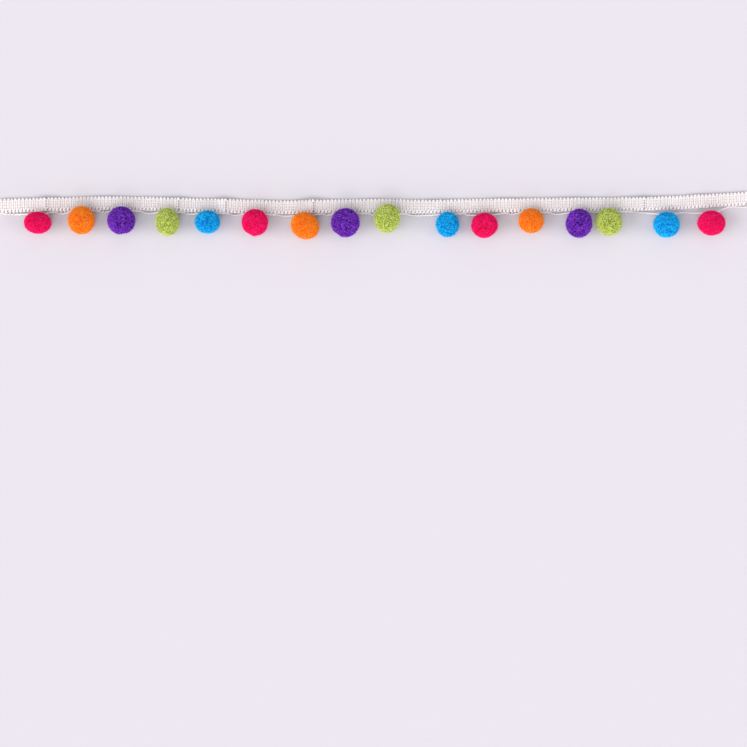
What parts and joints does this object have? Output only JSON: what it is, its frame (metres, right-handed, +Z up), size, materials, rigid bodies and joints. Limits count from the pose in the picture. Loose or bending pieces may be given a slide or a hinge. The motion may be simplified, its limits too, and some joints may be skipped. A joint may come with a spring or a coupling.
{
  "type": "cut length of pompom trim",
  "caption": "White knitted trim tape lying flat, with small coloured pompoms tied in a row along one edge by a thread, for edging cushions, curtains and clothes.",
  "frame": {"origin": "on the surface that the trim lies on, under the middle of its bounding box", "axes": "+X along the length of the trim, +Y from the pompoms towards the tape's free edge, +Z up"},
  "size_m": [0.277, 0.0176, 0.0095],
  "materials": {
    "tape_yarn": "matte white knitted cotton yarn",
    "tie_thread": "matte white twisted thread",
    "pompom_pink": "matte cut yarn pile, pink",
    "pompom_orange": "matte cut yarn pile, orange",
    "pompom_purple": "matte cut yarn pile, purple",
    "pompom_green": "matte cut yarn pile, green",
    "pompom_blue": "matte cut yarn pile, blue"
  },
  "bodies": {
    "root": {"tape": "tape_yarn", "pompom_01": "pompom_pink", "pompom_02": "pompom_orange", "pompom_03": "pompom_purple", "pompom_04": "pompom_green", "pompom_05": "pompom_blue", "pompom_06": "pompom_pink", "pompom_07": "pompom_orange", "pompom_08": "pompom_purple", "pompom_09": "pompom_green", "pompom_10": "pompom_blue", "pompom_11": "pompom_pink", "pompom_12": "pompom_orange", "pompom_13": "pompom_purple", "pompom_14": "pompom_green", "pompom_15": "pompom_blue", "pompom_16": "pompom_pink", "thread_01": "tie_thread", "thread_02": "tie_thread", "thread_03": "tie_thread", "thread_04": "tie_thread", "thread_05": "tie_thread", "thread_06": "tie_thread", "thread_07": "tie_thread", "thread_08": "tie_thread", "thread_09": "tie_thread", "thread_10": "tie_thread", "thread_11": "tie_thread", "thread_12": "tie_thread", "thread_13": "tie_thread", "thread_14": "tie_thread", "thread_15": "tie_thread", "thread_16": "tie_thread", "thread_17": "tie_thread"}
  },
  "joints": []
}
